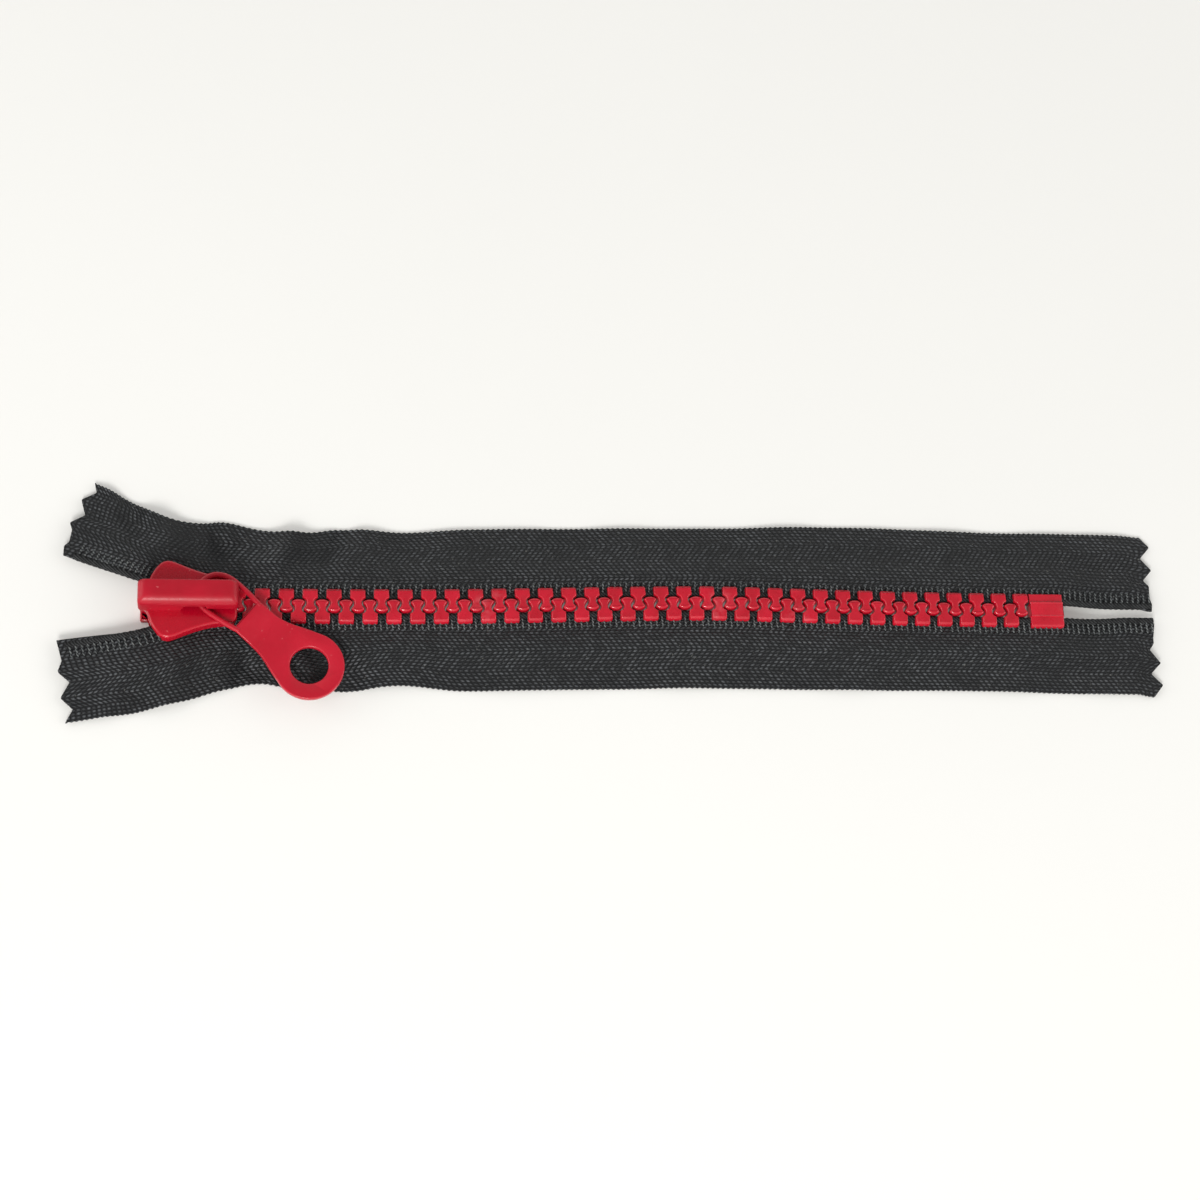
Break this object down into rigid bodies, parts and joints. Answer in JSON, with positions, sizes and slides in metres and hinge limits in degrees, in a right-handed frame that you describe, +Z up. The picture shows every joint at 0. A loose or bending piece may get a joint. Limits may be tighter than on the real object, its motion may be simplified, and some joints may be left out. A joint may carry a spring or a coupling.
{
  "type": "moulded-tooth zipper",
  "caption": "Closed-end zipper: black woven tapes, interlocking red moulded teeth, bottom stop, and a lacquered auto-lock slider with a ring pull.",
  "frame": {"origin": "on the table, under the middle of the zipper's overall length, on the line of the closed chain", "axes": "+X along the chain towards the bottom stop, +Y towards the right-hand tape, +Z up out of the slider's front face"},
  "size_m": [0.2148, 0.0478, 0.0104],
  "materials": {
    "tape_cloth": "herringbone woven polyester, charcoal black",
    "bead_cord": "woven beaded edge, charcoal black",
    "moulded_resin": "red moulded acetal resin, satin gloss",
    "slider_paint": "red gloss lacquer over zinc casting",
    "pull_paint": "red satin lacquer over zinc casting",
    "spring_steel": "bright spring steel strip"
  },
  "bodies": {
    "chain_bottom": {"bottom_stop": "moulded_resin", "right_tape_bottom": "tape_cloth", "right_cord_bottom": "bead_cord", "right_teeth_bottom": "moulded_resin", "left_tape_bottom": "tape_cloth", "left_cord_bottom": "bead_cord", "left_teeth_bottom": "moulded_resin"},
    "right_lower": {"right_tape_lower": "tape_cloth", "right_cord_lower": "bead_cord", "right_teeth_lower": "moulded_resin"},
    "right_middle": {"right_tape_middle": "tape_cloth", "right_cord_middle": "bead_cord", "right_teeth_middle": "moulded_resin"},
    "right_upper": {"right_tape_upper": "tape_cloth", "right_cord_upper": "bead_cord", "right_teeth_upper": "moulded_resin"},
    "right_top": {"right_tape_top": "tape_cloth", "right_cord_top": "bead_cord", "right_teeth_top": "moulded_resin", "right_top_stop": "moulded_resin"},
    "left_lower": {"left_tape_lower": "tape_cloth", "left_cord_lower": "bead_cord", "left_teeth_lower": "moulded_resin"},
    "left_middle": {"left_tape_middle": "tape_cloth", "left_cord_middle": "bead_cord", "left_teeth_middle": "moulded_resin"},
    "left_upper": {"left_tape_upper": "tape_cloth", "left_cord_upper": "bead_cord", "left_teeth_upper": "moulded_resin"},
    "left_top": {"left_tape_top": "tape_cloth", "left_cord_top": "bead_cord", "left_teeth_top": "moulded_resin", "left_top_stop": "moulded_resin"},
    "slider": {"slider_body": "slider_paint", "crown": "slider_paint"},
    "lock": {"lock_spring": "spring_steel"},
    "pull": {"pull": "pull_paint"}
  },
  "joints": [
    {"name": "slider_slide", "type": "slide", "parent": "chain_bottom", "child": "slider", "axis": [1, 0, 0], "range_m": [0, 0.1546], "deforming": ["right_tape_bottom", "right_cord_bottom", "right_teeth_bottom", "left_tape_bottom", "left_cord_bottom", "left_teeth_bottom", "right_tape_lower", "right_cord_lower", "right_teeth_lower", "right_tape_middle", "right_cord_middle", "right_teeth_middle", "right_tape_upper", "right_cord_upper", "right_teeth_upper", "right_tape_top", "right_cord_top", "right_teeth_top", "right_top_stop", "left_tape_lower", "left_cord_lower", "left_teeth_lower", "left_tape_middle", "left_cord_middle", "left_teeth_middle", "left_tape_upper", "left_cord_upper", "left_teeth_upper", "left_tape_top", "left_cord_top", "left_teeth_top", "left_top_stop"]},
    {"name": "right_lower_opening", "type": "hinge", "parent": "chain_bottom", "child": "right_lower", "pos_m": [0.072, 0, 0.00285], "axis": [0, 0, 1], "range_deg": [-16.16, 0]},
    {"name": "right_middle_opening", "type": "hinge", "parent": "right_lower", "child": "right_middle", "pos_m": [0.0585, 0, 0.00285], "axis": [0, 0, 1], "range_deg": [0, 9.6]},
    {"name": "right_upper_opening", "type": "hinge", "parent": "right_middle", "child": "right_upper", "pos_m": [0.009, 0, 0.00285], "axis": [0, 0, 1], "range_deg": [0, 1.51]},
    {"name": "right_top_opening", "type": "hinge", "parent": "right_upper", "child": "right_top", "pos_m": [-0.0405, 0, 0.00285], "axis": [0, 0, 1], "range_deg": [0, 1.51]},
    {"name": "left_lower_opening", "type": "hinge", "parent": "chain_bottom", "child": "left_lower", "pos_m": [0.06975, 0, 0.00285], "axis": [0, 0, 1], "range_deg": [0, 16.16]},
    {"name": "left_middle_opening", "type": "hinge", "parent": "left_lower", "child": "left_middle", "pos_m": [0.05625, 0, 0.00285], "axis": [0, 0, 1], "range_deg": [-9.6, 0]},
    {"name": "left_upper_opening", "type": "hinge", "parent": "left_middle", "child": "left_upper", "pos_m": [0.00675, 0, 0.00285], "axis": [0, 0, 1], "range_deg": [-1.51, 0]},
    {"name": "left_top_opening", "type": "hinge", "parent": "left_upper", "child": "left_top", "pos_m": [-0.04275, 0, 0.00285], "axis": [0, 0, 1], "range_deg": [-1.51, 0]},
    {"name": "pull_swing", "type": "hinge", "parent": "slider", "child": "pull", "pos_m": [-0.0765, 0, 0.0059], "axis": [0, 0, 1], "range_deg": [0, 77.6]},
    {"name": "lock_lift", "type": "hinge", "parent": "slider", "child": "lock", "pos_m": [-0.09, 0, 0.0076], "axis": [0, -1, 0], "range_deg": [0, 5], "stiffness_Nm_per_rad": 0.02}
  ],
  "couplings": [
    {"joint": "right_lower_opening", "follows": "slider_slide", "rad_per_m": -1.8063},
    {"joint": "right_middle_opening", "follows": "slider_slide", "rad_per_m": 1.0725},
    {"joint": "right_upper_opening", "follows": "slider_slide", "rad_per_m": 0.16934},
    {"joint": "right_top_opening", "follows": "slider_slide", "rad_per_m": 0.16934},
    {"joint": "left_lower_opening", "follows": "slider_slide", "rad_per_m": 1.8063},
    {"joint": "left_middle_opening", "follows": "slider_slide", "rad_per_m": -1.0725},
    {"joint": "left_upper_opening", "follows": "slider_slide", "rad_per_m": -0.16934},
    {"joint": "left_top_opening", "follows": "slider_slide", "rad_per_m": -0.16934}
  ]
}
